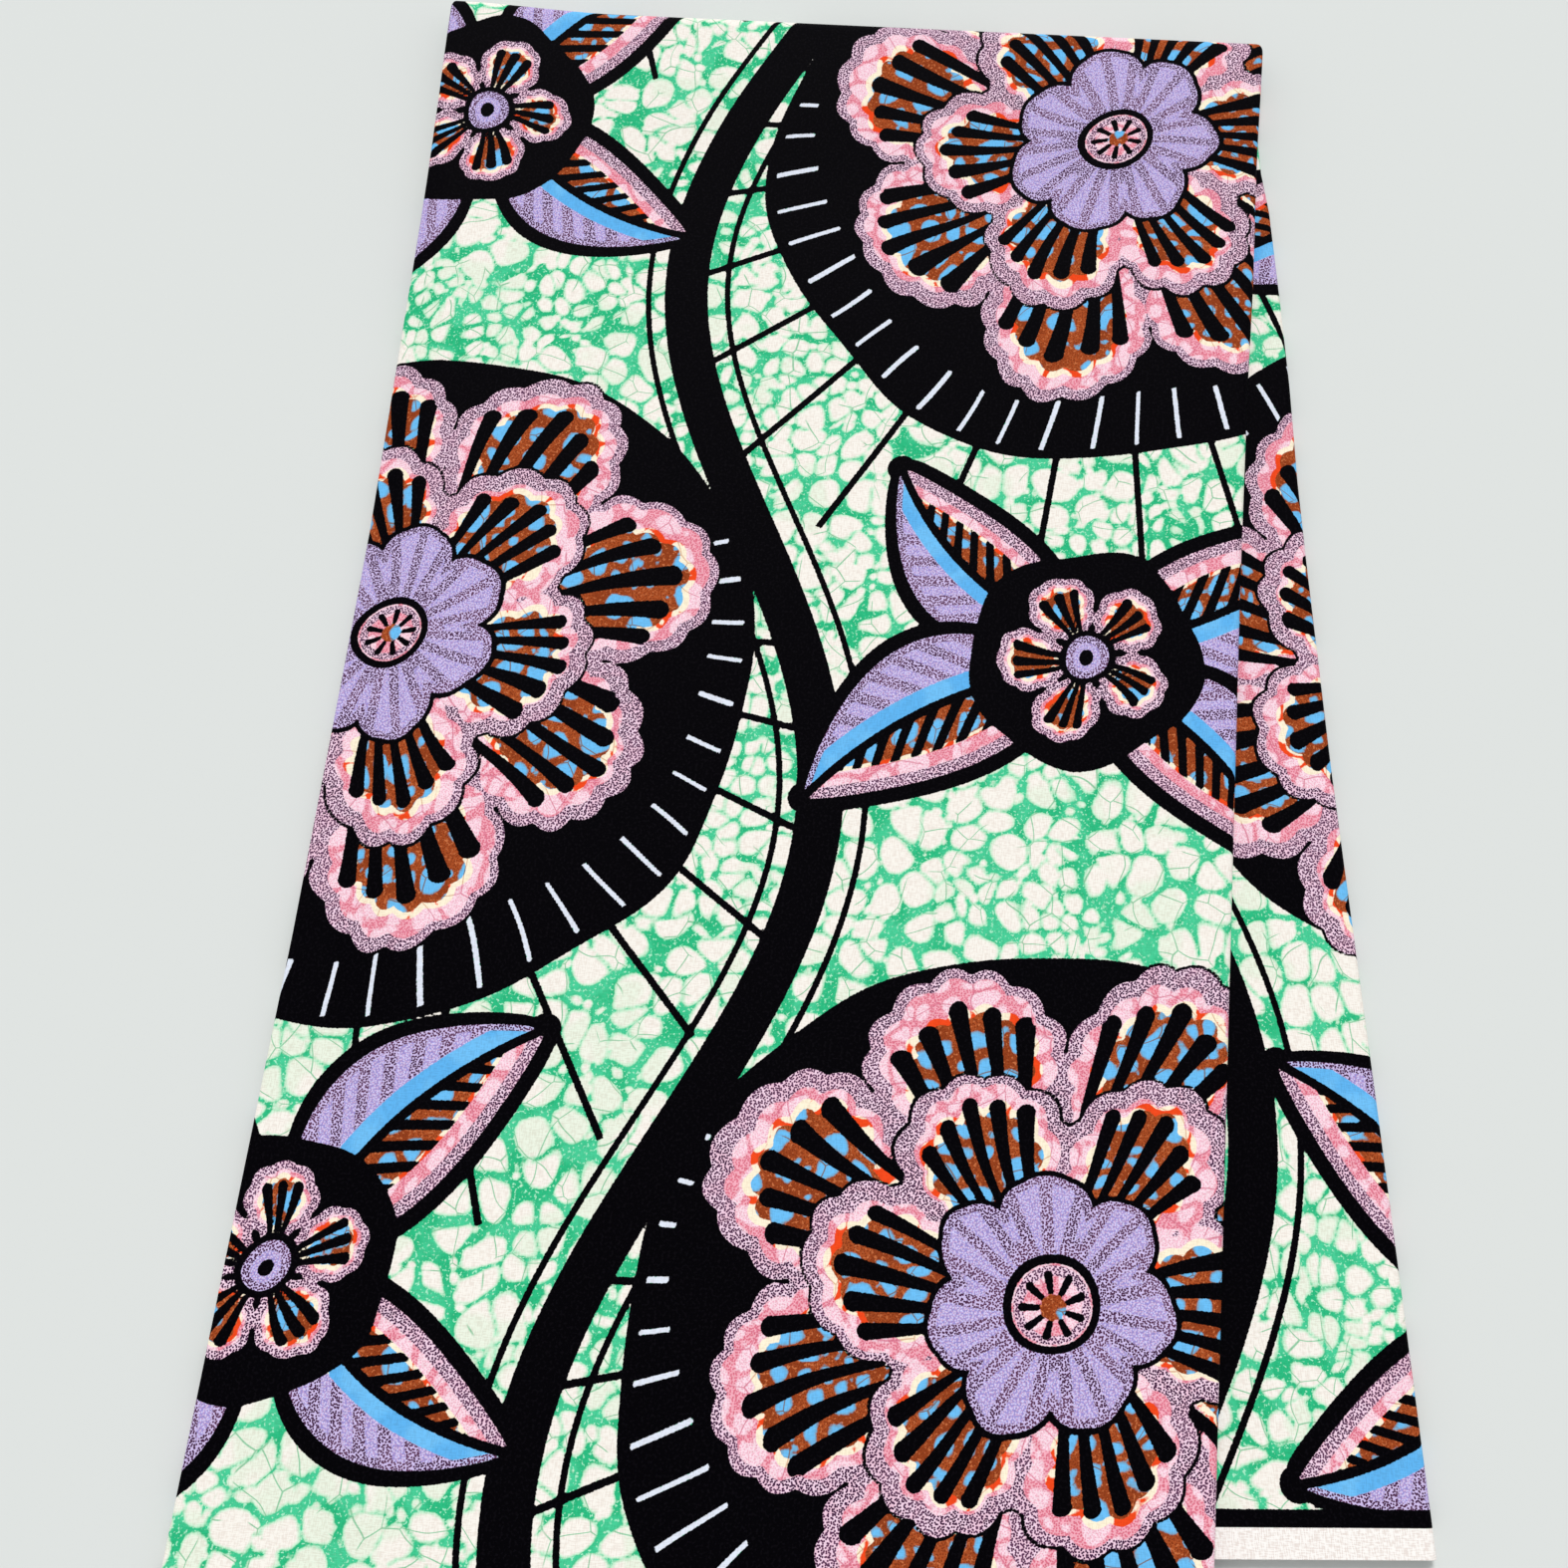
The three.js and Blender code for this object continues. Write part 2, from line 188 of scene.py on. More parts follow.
# Inks as they are stored on the cloth, three to an attribute. grain is the dark stipple.
INK_SETS = {
    "inks_warm": ("rust", "orange", "pink"),
    "inks_cool": ("lavender", "sky", "grain"),
    "inks_plain": ("black", "white", "selvedge"),
}
FAR = 12.0  # the distance outside an ink that isn't near


class Print:
    """Signed distances, in mm, into each ink at cloth points: x across the strip, t along it.
    paint and stipple work on the points that near or choose picked last."""

    def __init__(self, x, t):
        self.x, self.t = x, t
        self.field = {ink: np.full(x.shape, -FAR) for inks in INK_SETS.values() for ink in inks}

    def choose(self, chosen):
        self.spot = np.flatnonzero(chosen)
        return self.x[self.spot], self.t[self.spot]

    def near(self, cx, ct, reach):
        return self.choose((abs(self.x - cx) < reach) & (abs(self.t - ct) < reach))

    def paint(self, ink, shape):
        """Lays one ink over whatever is there."""
        for name, field in self.field.items():
            if name == ink:
                field[self.spot] = np.maximum(field[self.spot], shape)
            else:
                field[self.spot] = np.minimum(field[self.spot], -shape)

    def stipple(self, shape):
        """Dark grain over the ink that is there."""
        grain = self.field["grain"]
        grain[self.spot] = np.maximum(grain[self.spot], shape)


def polar(dx, dt, turn=0.0):
    return np.hypot(dx, dt), np.arctan2(dt, dx) - turn


def folded_angle(angle, count):
    """Angle from the nearest of count directions."""
    step = 2 * math.pi / count
    return (angle + step / 2) % step - step / 2


def wobble(x, t, amount, length, phase):
    """A smooth push that keeps drawn shapes from being exact."""
    k = 2 * math.pi / length
    dx = np.sin(k * t + phase) + 0.5 * np.sin(2.3 * k * x + 1.7 * phase)
    dt = np.sin(k * x + 2.1 * phase) + 0.5 * np.sin(2.7 * k * t + 0.6 * phase)
    return x + amount * dx, t + amount * dt


def petal(radius, angle, tip_at, tip_radius, scallop, scallops):
    """Distance into a ring of round-tipped petals with scalloped ends."""
    u, v = radius * np.cos(angle), radius * np.sin(angle)
    around = np.arctan2(v, u - tip_at)
    tip = tip_radius - np.hypot(u - tip_at, v)
    tip = tip + scallop * (abs(np.cos(around * scallops / 2)) - 0.6)
    body = (tip_radius * np.clip(u / tip_at, 0, 1) - abs(v)) * 0.92
    return np.where(u < tip_at, np.maximum(tip, body), tip)


def stroke(gap, half):
    """Distance into a thin line at some gap from its middle, rounded so that it interpolates well
    between points that stand further apart than the line is wide."""
    return np.maximum((half ** 2 - gap ** 2) / (2 * half), -FAR)


def rib(radius, angle, start, end, width_start, width_end):
    """Distance into a tapered stroke along a ray, with a round outer end."""
    share = np.clip((radius - start) / (end - start), 0, 1)
    half = blend(width_start, width_end, share ** 1.3) / 2
    u, v = radius * np.cos(angle), radius * np.sin(angle)
    cap = width_end / 2 - np.hypot(np.maximum(u - (end - width_end / 2), 0), v)
    line = np.where(u > end - width_end / 2, cap, half - abs(v))
    return np.minimum(line, u - start)


# Rings of a blossom, in shares of its size
PETAL_RINGS = (
    {"count": 8, "tip_at": 0.715, "tip": 0.29, "turn": 0.0, "scallops": 13, "rim": 0.112,
     "spread": 0.122, "start": 0.45, "end": 0.905, "thin": 0.022, "thick": 0.062},
    {"count": 6, "tip_at": 0.43, "tip": 0.25, "turn": 0.31, "scallops": 11, "rim": 0.098,
     "spread": 0.148, "start": 0.24, "end": 0.605, "thin": 0.018, "thick": 0.052},
)
HALO, HALO_SHIFT = 1.11, 0.15  # radius of a blossom's black ground, and how far it is off middle


def halo_rim(size, toward):
    """Radius of the black ground, given the cosine from the side where it reaches furthest."""
    shift = HALO_SHIFT * size
    across = shift * np.sqrt(np.maximum(1 - toward ** 2, 0))
    return shift * toward + np.sqrt((HALO * size) ** 2 - across ** 2)


def rays(cloth, cx, ct, size, lean_to, phase, between):
    """Thin straight black lines that fan out over the crackled ground from behind a flower, and
    end at the stems that it stands between."""
    x, t = cloth.near(cx, ct, 2.0 * size)
    radius, angle = polar(x - cx, t - ct)
    ray = folded_angle(angle, 30)
    toward = np.cos(angle - ray - lean_to)
    reach = (1.22 + 0.58 * toward + 0.10 * np.sin(7 * (angle - ray) + phase)) * size
    reach = np.where(reach > halo_rim(size, toward) + 0.15 * size, reach, 0)
    left, right = (path(t) for path in between)
    free = np.minimum(x - left, right - x)
    line = np.minimum(stroke(radius * np.sin(ray), 1.25), reach - radius)
    cloth.paint("black", np.minimum(line, free))


def blossom(cloth, cx, ct, size, turn, lean_to, phase):
    """A large layered flower on a black ground with pale dashes."""
    x, t = wobble(*cloth.near(cx, ct, 1.5 * size), 0.018 * size, 1.1 * size, phase)
    dx, dt = x - cx, t - ct
    radius, angle = polar(dx, dt, turn)

    shift = HALO_SHIFT * size
    from_halo = np.hypot(dx - shift * math.cos(lean_to), dt - shift * math.sin(lean_to))
    cloth.paint("black", HALO * size - from_halo)

    dash = folded_angle(angle, 50)
    spoke = angle - dash + turn
    inner = (1.035 + 0.03 * np.sin(5 * spoke + phase)) * size
    outer = halo_rim(size, np.cos(spoke - lean_to)) - 0.035 * size
    half_length = (outer - inner) / 2
    along = abs(radius * np.cos(dash) - (inner + outer) / 2) - half_length
    dashes = np.minimum(stroke(radius * np.sin(dash), 0.95), -along)
    cloth.paint("white", np.where(half_length > 2.5, dashes, -FAR))

    for ring in PETAL_RINGS:
        folded = folded_angle(angle - ring["turn"], ring["count"])
        lean = 1 + 0.035 * np.sin(3 * angle + phase)
        shape = petal(radius / lean, folded, ring["tip_at"] * size, ring["tip"] * size,
                      0.022 * size, ring["scallops"])
        cloth.paint("black", shape + 1.0)
        cloth.paint("pink", shape)
        shaded = 1.7 + 2.0 * np.sin(angle * 2 + phase) ** 2
        cloth.stipple(shaded - abs(shape - shaded + 0.4))
        inside = shape - ring["rim"] * size * (1 + 0.16 * np.sin(9 * angle + phase))
        edge = 0.05 * size + 3.5 * np.sin(3 * angle + phase) - inside
        cloth.paint("orange", np.minimum(inside + 2.6, edge))
        cloth.paint("rust", inside)
        for place in range(-2, 3):
            end = ring["end"] * size * (1 - 0.045 * abs(place))
            line = rib(radius, folded - place * ring["spread"], ring["start"] * size, end,
                       ring["thin"] * size, ring["thick"] * size)
            cloth.paint("black", np.minimum(line, shape - 5.0))

    heart = petal(radius, folded_angle(angle - 0.2, 7), 0.235 * size, 0.125 * size,
                  0.006 * size, 6)
    cloth.paint("black", heart + 1.6)
    cloth.paint("lavender", heart)
    stripes = folded_angle(angle - 0.2, 21)
    cloth.stipple(np.minimum(1.7 - abs(radius * np.sin(stripes)), heart - 0.4))
    cloth.stipple(1.5 - abs(heart - 1.0))
    cloth.paint("black", 0.128 * size - radius)
    cloth.paint("pink", 0.106 * size - radius)
    cloth.stipple(1.3 - abs(0.088 * size - radius))
    seeds = folded_angle(angle, 9)
    cloth.paint("black", rib(radius, seeds, 0.02 * size, 0.088 * size, 1.4, 2.6))
    cloth.paint("rust", 0.034 * size - radius)


LEAF_BEND = 9.0
# Leaves round a small flower: direction, length, width and the way they bend
LEAVES = ((38, 104, 54, 1), (142, 94, 46, -1), (218, 104, 54, 1), (322, 94, 46, -1))


def leaf(cloth, base, angle, length, width, flip):
    """A pointed leaf: one half lavender with a blue slip, the other rust with black ribs."""
    c, s = math.cos(angle), math.sin(angle)
    x, t = cloth.near(base[0] + c * length / 2, base[1] + s * length / 2, 0.75 * length)
    dx, dt = x - base[0], t - base[1]
    along, side = dx * c + dt * s, dt * c - dx * s
    share = np.clip(along / length, 0, 1)
    side = (side - 4 * LEAF_BEND * flip * share * (1 - share)) * flip
    half = (width / 2) * np.sin(math.pi * share ** 0.78) ** 0.8
    outside = np.maximum(-along, along - length)
    shape = 0.93 * np.where(outside > 0, -np.hypot(outside, side), half - abs(side))
    cloth.paint("black", shape + 5.2)

    upper = np.minimum(shape, side - 1.0)
    cloth.paint("lavender", upper)
    cloth.paint("sky", np.minimum(upper - 0.3, 0.15 * width - side))
    veins = (along - 0.9 * abs(side)) % (0.115 * length) - 0.0575 * length
    stripes = np.minimum(1.9 - abs(veins) * 0.74, np.minimum(upper - 1.0, side - 0.16 * width))
    cloth.stipple(stripes)
    cloth.stipple(np.minimum(1.5 - abs(shape - 1.2), upper))

    lower = np.minimum(shape, -side - 1.0)
    rim = 0.17 * width
    cloth.paint("pink", lower)
    cloth.stipple(np.minimum(2.2 - abs(shape - 2.0), lower))
    core = np.minimum(lower, shape - rim - 1.4)
    cloth.paint("orange", core + 1.4)
    cloth.paint("rust", core)
    slant = (along - 1.1 * abs(side)) % (0.098 * length) - 0.049 * length
    ribs = np.minimum((0.0235 * length - abs(slant)) * 0.67, np.minimum(lower, shape - rim - 0.4))
    cloth.paint("black", ribs)
    cloth.paint("black", np.minimum(1.1 + 0.010 * width - abs(side), shape))


def posy(cloth, cx, ct, size, turn, phase):
    """A small five-petalled flower on a black disc."""
    x, t = wobble(*cloth.near(cx, ct, 1.7 * size), 0.03 * size, 1.6 * size, phase)
    radius, angle = polar(x - cx, t - ct, turn)
    cloth.paint("black", 1.24 * size * (1 + 0.03 * np.sin(5 * angle)) - radius)
    folded = folded_angle(angle, 5)
    shape = petal(radius, folded, 0.62 * size, 0.36 * size, 0.03 * size, 8)
    cloth.paint("pink", shape)
    cloth.stipple(1.6 - abs(shape - 1.2))
    cloth.paint("orange", shape - 0.115 * size)
    cloth.paint("rust", shape - 0.16 * size)
    for offset in (-0.22, 0.0, 0.22):
        line = rib(radius, folded - offset, 0.30 * size, 0.80 * size, 0.05 * size, 0.11 * size)
        cloth.paint("black", np.minimum(line, shape - 0.07 * size))
    cloth.paint("black", 0.30 * size - radius)
    cloth.paint("lavender", 0.24 * size - radius)
    cloth.stipple(1.4 - abs(radius - 0.2 * size))
    cloth.paint("black", 0.08 * size - radius)


def stem_path(column):
    """The middle line of the winding stem at a column's left side, as a function of t."""
    centre = column * COLUMN + PRINT_AT[0]
    return lambda t: centre + STEM_SWING * np.sin(STEM_WAVE * t + math.pi * (column % 2))


def vine(cloth, column, width):
    """A thick black winding stem with a thin line on each side."""
    path = stem_path(column)
    x, t = cloth.choose(abs(cloth.x - path(cloth.t)) < width + 30)
    slope = STEM_SWING * STEM_WAVE * np.cos(STEM_WAVE * t + math.pi * (column % 2))
    across = (x - path(t)) / np.sqrt(1 + slope ** 2)
    cloth.paint("black", width / 2 - abs(across))
    cloth.paint("black", stroke(across - width / 2 - 8, 1.1))
    cloth.paint("black", stroke(across + width / 2 + 6.5, 1.1))


COLUMN = 262.0  # the print's repeat across, and along
DROP = 460.0
BLOSSOM_SIZE, POSY_SIZE = 119.0, 35.0
LEAF_START = 12.0  # from the middle of a small flower
STEM_WIDTH = 17.0
PRINT_AT = (-22.0, 30.0)  # where a repeat starts on the cloth
STEM_SWING = 0.145 * COLUMN
STEM_WAVE = 2 * math.pi / DROP


def halo_side(column):
    """Direction in which a blossom's black ground reaches furthest."""
    return math.radians(-90 + (25 if column % 2 else -25))


def print_fields(x, t, to_selvedge):
    """The whole print at cloth points, given how far each lies from its selvedge. The columns and
    drops are enough to cover the cloth."""
    cloth = Print(x, t)
    columns = [(c, (c + 0.5) * COLUMN + PRINT_AT[0]) for c in range(-2, 4)]
    drops = [(k, c, cx, (k + (0.33 if c % 2 else 0.83)) * DROP + PRINT_AT[1])
             for c, cx in columns for k in range(-3, 4)]
    for c, cx in columns:
        vine(cloth, c, STEM_WIDTH)
    for k, c, cx, ct in drops:
        rays(cloth, cx, ct, BLOSSOM_SIZE, halo_side(c), 1.3 * c + 0.7 * k,
             (stem_path(c), stem_path(c + 1)))
    for k, c, cx, ct in drops:
        gap, way = ct + DROP / 2, 1 if c % 2 else -1
        for degrees, length, width, flip in LEAVES:
            angle = math.radians(degrees + 7 * way)
            base = (cx + LEAF_START * math.cos(angle), gap + LEAF_START * math.sin(angle))
            leaf(cloth, base, angle, length, width, flip * way)
        posy(cloth, cx, gap, POSY_SIZE, 0.4 * c + 0.9 * k, 1.3 * c + 0.7 * k)
    for k, c, cx, ct in drops:
        blossom(cloth, cx, ct, BLOSSOM_SIZE, 0.35 * c + 0.2 * k, halo_side(c), 1.3 * c + 0.7 * k)
    cloth.choose(np.full(x.shape, True))
    cloth.paint("black", SELVEDGE + BORDER - to_selvedge)
    cloth.paint("selvedge", SELVEDGE - to_selvedge)
    return cloth.field


def cell_random(i, j, seed):
    """Two even random numbers for each cell of a grid."""
    mixed = (i * 374761393 + j * 668265263 + seed * 974634777) & 0xFFFFFFFF
    for shift, factor in ((13, 1274126177), (15, 2246822519)):
        mixed = ((mixed ^ (mixed >> shift)) * factor) & 0xFFFFFFFF
    mixed = mixed ^ (mixed >> 16)
    return (mixed & 0xFFFF) / 65536, (mixed >> 16) / 65536


def soft_noise(x, t, length, seed):
    """Smooth random values from 0 to 1, in two sizes."""
    total = 0
    for finer, weight in ((1, 2 / 3), (2, 1 / 3)):
        u, v = x * finer / length, t * finer / length
        i, j = np.floor(u).astype(np.int64), np.floor(v).astype(np.int64)
        across, along = ease(u - i, 0, 1), ease(v - j, 0, 1)
        corners = [cell_random(i + di, j + dj, seed)[0] for dj in (0, 1) for di in (0, 1)]
        total += weight * blend(blend(corners[0], corners[1], across),
                                blend(corners[2], corners[3], across), along)
    return total


def random_cells(x, t, length, seed, evenness=0.8, rounding=0.07):
    """Distances from the middle of the nearest of many random cells, and to that cell's wall,
    less in its corners."""
    u, v = x / length, t / length
    i, j = np.floor(u).astype(np.int64), np.floor(v).astype(np.int64)
    middles = {}
    for di in range(-2, 3):
        for dj in range(-2, 3):
            across, along = (0.5 + evenness * (r - 0.5) for r in cell_random(i + di, j + dj, seed))
            middles[di, dj] = np.array((i + di + across - u, j + dj + along - v))
    nearest = np.full(x.shape, 9.0)
    own = np.zeros((2,) + x.shape)
    for (di, dj), middle in middles.items():
        if max(abs(di), abs(dj)) < 2:
            closer = np.hypot(*middle) < nearest
            nearest = np.where(closer, np.hypot(*middle), nearest)
            own = np.where(closer, middle, own)
    closeness = np.zeros(x.shape)
    for middle in middles.values():
        span = middle - own
        reach = np.maximum(np.hypot(*span), 1e-6)
        halfway = ((middle + own) / 2 * span).sum(0) / reach
        closeness += np.where(reach > 1e-5, np.exp(-halfway / rounding), 0.0)
    return nearest * length, -rounding * np.log(closeness) * length


def smooth_min(a, b, width):
    near = np.maximum(width - abs(a - b), 0) / width
    return np.minimum(a, b) - near ** 3 * width / 6


def wax_fields(x, t):
    """The wax resist at cloth points: how far, in mm, each lies inside a bubble of wax, where
    the wax is veined with cracks, slow changes of tone, and the place that the cracks use."""
    push = [9.0 * (soft_noise(x, t, 17, seed) - 0.5) for seed in (1, 2)]
    wx, wt = x + push[0], t + push[1]
    gap = np.maximum(0.1 + 7.0 * (soft_noise(x, t, 24, 3) - 0.5), 0.15)
    bubbles = []
    for length, share, seed in ((12.6, 0.9, 11), (8.2, 0.6, 12)):
        from_middle, to_wall = random_cells(wx, wt, length, seed)
        bubbles.append(smooth_min(to_wall - share * gap, 0.6 * length - from_middle, 0.3 * length))
    into = blend(bubbles[0], bubbles[1], ease(soft_noise(x, t, 34, 4), 0.56, 0.60))
    drops = random_cells(wx, wt, 6.0, 13)[0]
    drops = 2.3 * ease(soft_noise(x, t, 12, 8), 0.4, 0.7) - drops
    veined = ease(soft_noise(x, t, 14, 5), 0.38, 0.43)
    tone = ease(soft_noise(x, t, 9, 6), 0.36, 0.64)
    tinted = ease(soft_noise(x, t, 16, 7), 0.55, 0.68)
    return {"wax": (np.maximum(into, drops), veined, tone), "cracks": (wx, wt, tinted)}


# ---------- meshes

def grid_normals(points, flip):
    across, along = np.gradient(points, axis=1), np.gradient(points, axis=0)
    normals = np.cross(across, along)
    normals /= np.maximum(np.linalg.norm(normals, axis=-1, keepdims=True), 1e-12)
    return -normals if flip else normals


def grid_quads(rows, columns, flip, start):
    index = np.arange(rows * columns).reshape(rows, columns) + start
    corners = [index[:-1, :-1], index[:-1, 1:], index[1:, 1:], index[1:, :-1]]
    if flip:
        corners.reverse()
    return np.stack([corner.ravel() for corner in corners], axis=-1)


class Patch:
    """A grid of points of one cloth layer, with their places on the cloth."""

    def __init__(self, points, across, along, to_selvedge, flip=False):
        self.points, self.flip = points, flip
        self.across, self.along, self.to_selvedge = across, along, to_selvedge
        self.normals = grid_normals(points, flip)

    def rows(self, start, stop):
        """The part of the patch between two rows, with the same normals."""
        part = object.__new__(Patch)
        part.flip = self.flip
        for name in ("points", "across", "along", "to_selvedge", "normals"):
            setattr(part, name, getattr(self, name)[start:stop])
        return part


def bake_places(patches):
    """Places of the points in a flat picture, for the export's bake. Each patch is a band of
    it, and rows of points that lie very close together are spread a little."""
    least, margin = 0.5, 0.004

    def reach(points, axis):
        step = np.linalg.norm(np.diff(points, axis=axis), axis=-1).mean(1 - axis)
        return np.append(0, np.cumsum(np.maximum(step, least)))

    spans = [[reach(patch.points, axis) for axis in (0, 1)] for patch in patches]
    long_axis = 0 if spans[0][0][-1] > spans[0][1][-1] else 1
    widths = np.array([span[1 - long_axis][-1] for span in spans])
    edges = np.append(0, np.cumsum(widths)) / widths.sum()
    places = []
    for span, low, high in zip(spans, edges[:-1], edges[1:]):
        u = blend(margin, 1 - margin, span[long_axis] / span[long_axis][-1])
        inner = min(margin, (high - low) / 6)
        share = span[1 - long_axis] / span[1 - long_axis][-1]
        v = blend(low + inner, high - inner, share)
        grid = np.meshgrid(u, v, indexing="ij") if long_axis == 0 else np.meshgrid(u, v)
        places.append(np.stack(grid, axis=-1).reshape(-1, 2))
    return np.concatenate(places)


def add_object(name, data):
    thing = bpy.data.objects.new(name, data)
    bpy.context.scene.collection.objects.link(thing)
    return thing


def make_piece(name, patches, material):
    """One object from grids of cloth, in metres in the row frame."""
    points, normals = (np.concatenate([getattr(p, part).reshape(-1, 3) for p in patches])
                       for part in ("points", "normals"))
    across, along, to_selvedge = (np.concatenate([getattr(p, part).ravel() for p in patches])
                                  for part in ("across", "along", "to_selvedge"))
    starts = np.cumsum([0] + [p.across.size for p in patches])
    quads = np.concatenate([grid_quads(*p.across.shape, p.flip, start)
                            for p, start in zip(patches, starts)])

    mesh = bpy.data.meshes.new(name)
    mesh.vertices.add(len(points))
    mesh.vertices.foreach_set("co", ((points + PLACE) * MM).astype(np.float32).ravel())
    mesh.loops.add(quads.size)
    mesh.loops.foreach_set("vertex_index", quads.astype(np.int32).ravel())
    mesh.polygons.add(len(quads))
    mesh.polygons.foreach_set("loop_start", np.arange(0, quads.size, 4, dtype=np.int32))
    mesh.update(calc_edges=True)
    mesh.shade_smooth()
    mesh.normals_split_custom_set_from_vertices(normals.astype(np.float32))

    fields = print_fields(across, along, to_selvedge)
    stored = {name: [fields[ink] for ink in inks] for name, inks in INK_SETS.items()}
    stored["cloth"] = (across, along, 0 * across)
    stored.update(wax_fields(across, along))
    for set_name, values in stored.items():
        attribute = mesh.attributes.new(set_name, "FLOAT_VECTOR", "POINT")
        values = np.stack(values, axis=-1).astype(np.float32)
        attribute.data.foreach_set("vector", values.ravel())

    places = bake_places(patches)
    uv_layer = mesh.uv_layers.new(name="OFBake")
    uv_layer.data.foreach_set("uv", places[quads.ravel()].astype(np.float32).ravel())

    mesh.materials.append(material)
    piece = add_object(name, mesh)
    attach(piece, "root")
    return piece


# ---------- layers of the strip

CELL = 0.95  # spacing of the points that carry the print, where it shows
SIDE_MARGIN = 14.0  # the top's unevenness grows over this much from its sides
END_BAND = 18.0  # how far the ends of the inner layers reach in; the top is even there


def steps(length, spacing):
    return max(2, int(round(length / spacing)))


class Rows:
    """Rows of points along the strip. Each is base + weight * the near end's fold distance,
    and lies inward by some of the layer's thickness where the layer's edge turns over."""

    def __init__(self, end):
        self.end = end
        self.base, self.weight, self.inward = [], [], []

    def add(self, base, weight=0.0, inward=0.0):
        added = np.broadcast_arrays(base, weight, inward)
        for kept, new in zip((self.base, self.weight, self.inward), added):
            kept += list(np.atleast_1d(new))

    def at(self, x):
        """Fold distances for side offsets of shape (rows, columns)."""
        base, weight = np.array(self.base)[:, None], np.array(self.weight)[:, None]
        return base + weight * self.end(x)

    def middle(self):
        """Fold distances on the strip's middle line, and how far inward each row lies."""
        return self.at(np.zeros((1, 1))), np.array(self.inward)[:, None]

    def edge(self, x, depth, across):
        """Cloth round an edge at the left side, with columns from its top down."""
        q = self.at(x)
        return Patch(lay(x, q, depth), across, q, abs(q - self.end(x)), flip=True)


# Rows round the cut end of a layer, from its inner face to its outer face: how far beyond the
# end each lies, and how far inward as a share of the cloth
LIP = ((-4.0, 1.0), (-0.05, 1.0), (0.05, 0.8), (0.09, 0.5), (0.05, 0.2), (-0.05, 0.0))


def near_lip(rows, way):
    """Adds a layer's cut end. way is the direction of the end along the strip, and with 1 the
    rows run from the outer face to the inner one."""
    for beyond, share in LIP[::-way]:
        rows.add(way * beyond, 1.0, share * CLOTH)


def upper_rows(spacing, turn_spacing, turn_end=TURN_LENGTH, inset=0.0):
    """From the near end of the upper half to some way round the cross fold."""
    rows = Rows(lambda x: front_end(x) + inset)
    near_lip(rows, -1)
    rows.add(0.25, 1.0)
    share = np.linspace(0, 1, steps(FRONT_END - PUFF_RUN, spacing) + 1)[1:]
    rows.add(-share * PUFF_RUN, 1 - share)
    rows.add(-PUFF_RUN * (1 - np.linspace(0, 1, steps(PUFF_RUN, spacing) + 1)[1:]))
    rows.add(np.linspace(0, turn_end, steps(turn_end, turn_spacing) + 1)[1:])
    return rows


def lower_rows(spacing, inset=0.0):
    """From the end of the cross fold to the near end of the lower half."""
    rows = Rows(lambda x: lower_end(x) - inset)
    share = np.linspace(0, 1, steps(LOWER_END, spacing) + 1)
    rows.add((1 - share[:-1]) * TURN_LENGTH, share[:-1])
    rows.add(-0.25, 1.0)
    near_lip(rows, 1)
    return rows


def wrap(limit, way, radius, turn, inward):
    """Side offset and depth round a side fold. turn is 0 at the face, 1 after the half turn
    and 2 at the end of the tuck."""
    angle = math.pi * np.clip(turn, 0, 1)
    tuck = TUCK * np.clip(turn - 1, 0, 1)
    x = limit + way * ((radius - inward) * np.sin(angle) - tuck)
    return x, radius - (radius - inward) * np.cos(angle)


def fold_columns(limit, way, radius, turns, inward):
    """Side offsets, depths and places on the cloth of the columns round a side fold."""
    x, depth = wrap(limit, way, radius, turns, inward)
    length = math.pi * radius * np.clip(turns, 0, 1) + TUCK * np.clip(turns - 1, 0, 1)
    return x, depth, limit + way * length


def curl_turns(radius):
    """Turn values of the columns round a fold, from just past the face to the tuck's end."""
    turns = np.linspace(0, 1, max(6, steps(math.pi * radius, 0.95)) + 1)[1:]
    return np.append(turns, (1.3, 1.65, 2.0))


def even_columns(count):
    return lambda near, low, high: blend(low, high, np.linspace(0, 1, count))


def layer_patch(rows, limits, columns, left_radius=None, right_radius=None, from_top=None,
                raised=0.0, shift=(0.0, 0.0), flip=False):
    """A layer's face, with the folds at its sides. limits are the face's left and right side
    offsets and columns its side offsets, as functions of the fold distance. from_top is the
    stack's height where the face is the strip's inner one."""
    near, inward = rows.middle()
    low, high = limits[0](near), limits[1](near)
    x = columns(near, low, high) + np.zeros_like(near)
    depth, across = inward + np.zeros_like(x), x
    if left_radius:
        fold = fold_columns(low, -1, left_radius, curl_turns(left_radius)[::-1], inward)
        x, depth, across = map(np.hstack, zip(fold, (x, depth, across)))
    if right_radius:
        fold = fold_columns(high, 1, right_radius(near), curl_turns(LOWER_STACK / 2), inward)
        x, depth, across = map(np.hstack, zip((x, depth, across), fold))
    q = rows.at(x)
    if from_top is not None:
        depth = from_top - depth
    inside = ease(np.minimum(x - low, high - x), 0, SIDE_MARGIN)
    inside = inside * ease(abs(q - rows.end(x)), END_BAND, END_BAND + 30)
    past_fold = ease(q, TURN_LENGTH, TURN_LENGTH + 60)
    inside = inside * np.where(q > 0, past_fold, 1 - ease(q, -30, 0))
    points = lay(x, q, depth, raised * inside)
    return Patch(points, across + shift[0], q + shift[1], abs(q - rows.end(x)), flip)


def right_fold_radius(q):
    """Radius of the whole bundle's fold, which thickens a little through the turn."""
    return blend(UPPER_STACK, LOWER_STACK, np.clip(q / TURN_LENGTH, 0, 1)) / 2


def left_limit(q):
    return -outline(q, "left") + GROUP_RADIUS


